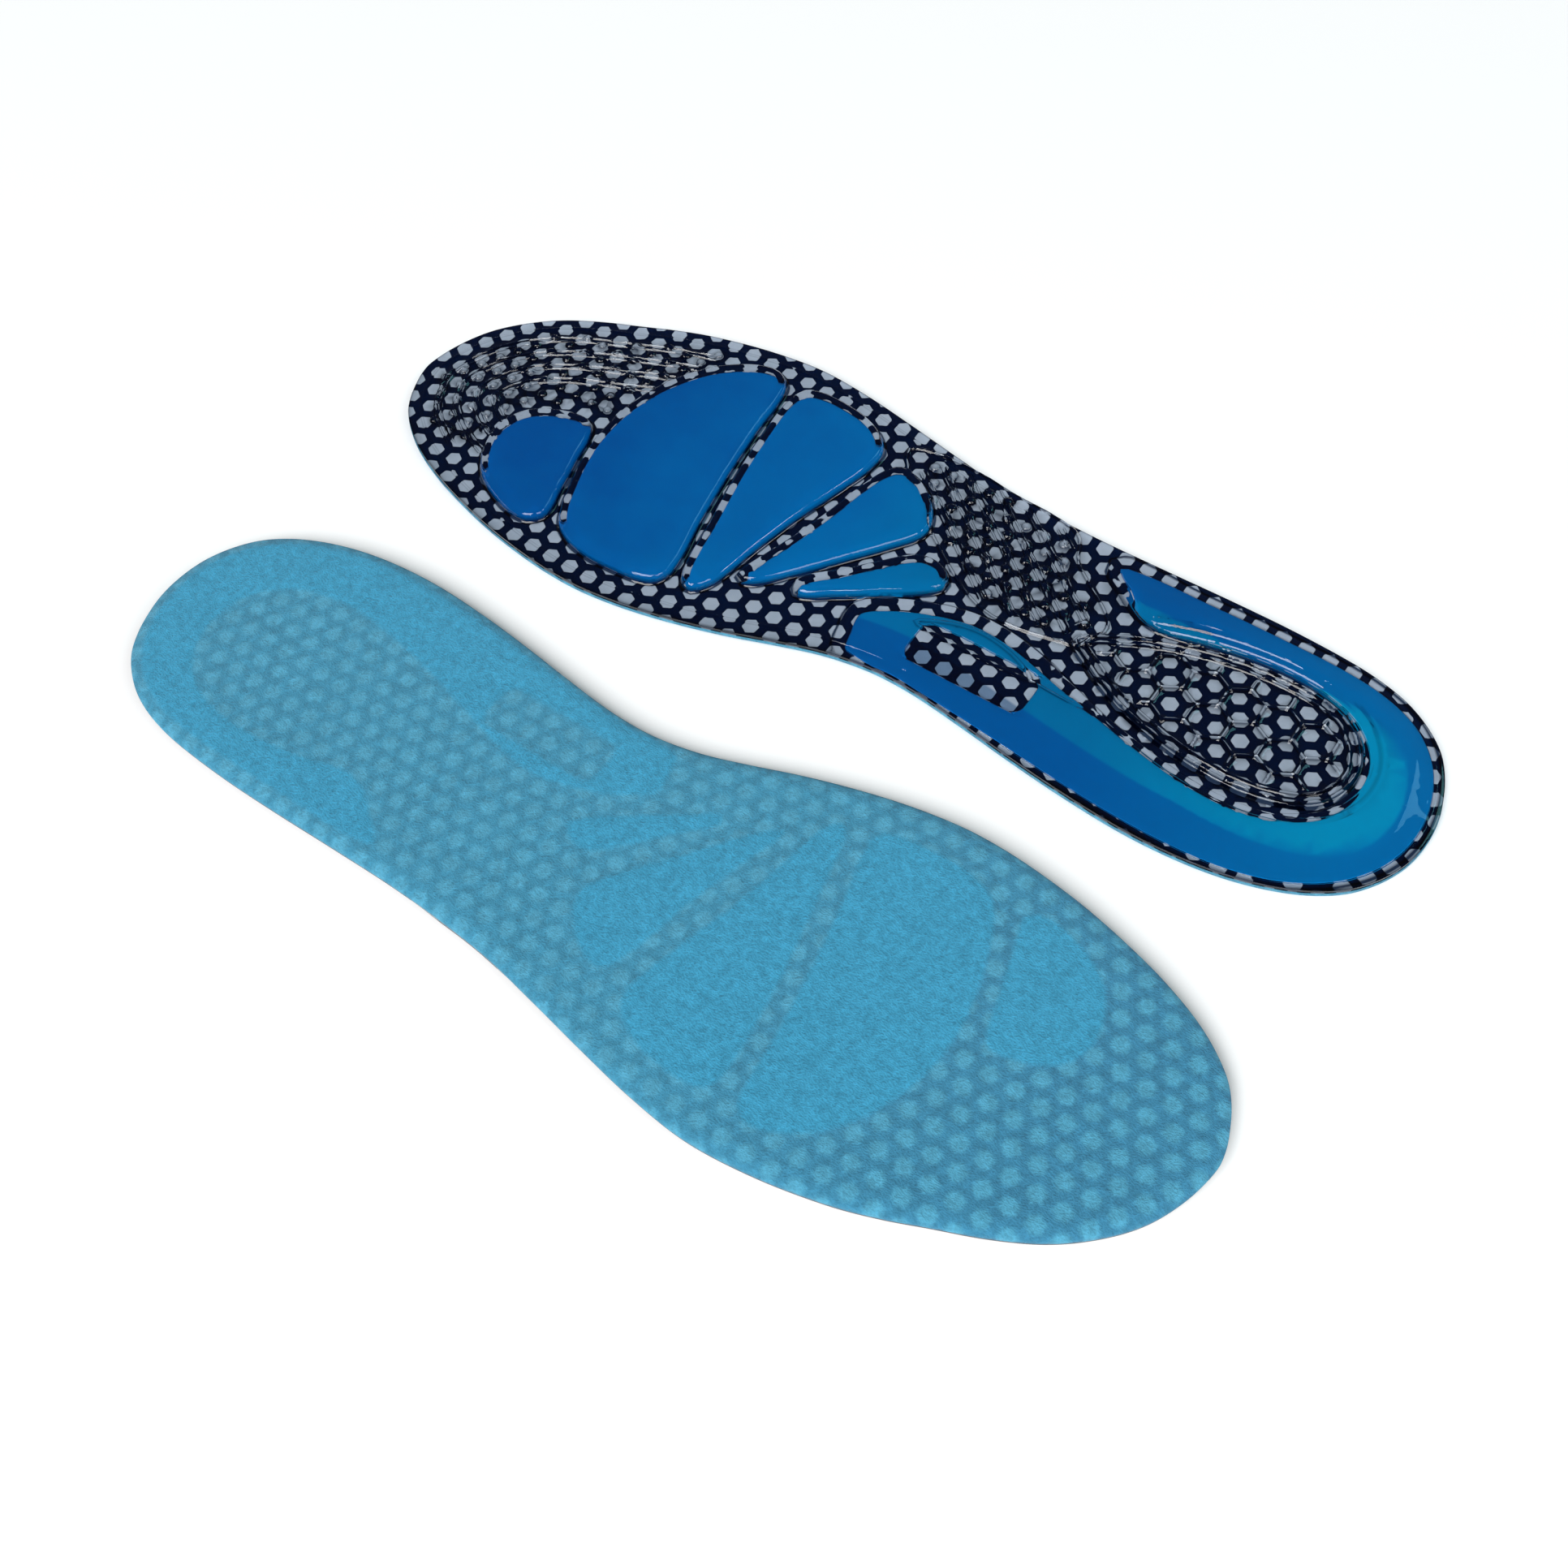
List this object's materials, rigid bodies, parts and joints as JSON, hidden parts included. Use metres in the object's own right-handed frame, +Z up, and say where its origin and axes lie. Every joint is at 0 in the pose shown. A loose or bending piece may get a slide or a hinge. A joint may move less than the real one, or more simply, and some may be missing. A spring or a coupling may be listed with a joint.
{
  "type": "gel cushion insole pair",
  "caption": "Pair of full-length gel cushion insoles with velour top covers, honeycomb film, blue gel pads and a clear ribbed gel underside.",
  "frame": {"origin": "on the table, midway between the two insoles: the centre of the pair's bounding box in X and Y, at its lowest point", "axes": "+X along the insoles, from the right insole's heel to its toe and from the left insole's toe to its heel; +Y across them, from the right insole to the left; +Z up"},
  "size_m": [0.284, 0.1924, 0.006],
  "materials": {
    "velour": "short brushed nap, light blue, with the film showing faintly through it",
    "printed_film": "smooth film printed with pale grey hexagons on dark navy",
    "blue_gel": "soft translucent blue gel, satin",
    "clear_gel": "soft clear gel, glossy moulded surface"
  },
  "bodies": {
    "right_insole": {"right_top_cover": "velour", "right_honeycomb_film": "printed_film", "right_arch_honeycomb_patch": "printed_film", "right_toe_pad": "blue_gel", "right_ball_pad": "blue_gel", "right_fan_pad_1": "blue_gel", "right_fan_pad_2": "blue_gel", "right_fan_pad_3": "blue_gel", "right_heel_arch_pad": "blue_gel", "right_clear_gel": "clear_gel"},
    "left_insole": {"left_top_cover": "velour", "left_honeycomb_film": "printed_film", "left_arch_honeycomb_patch": "printed_film", "left_toe_pad": "blue_gel", "left_ball_pad": "blue_gel", "left_fan_pad_1": "blue_gel", "left_fan_pad_2": "blue_gel", "left_fan_pad_3": "blue_gel", "left_heel_arch_pad": "blue_gel", "left_clear_gel": "clear_gel"}
  },
  "joints": [
    {"name": "left_lift", "type": "slide", "parent": "right_insole", "child": "left_insole", "axis": [0, 0, 1], "range_m": [0, 0.15]}
  ]
}
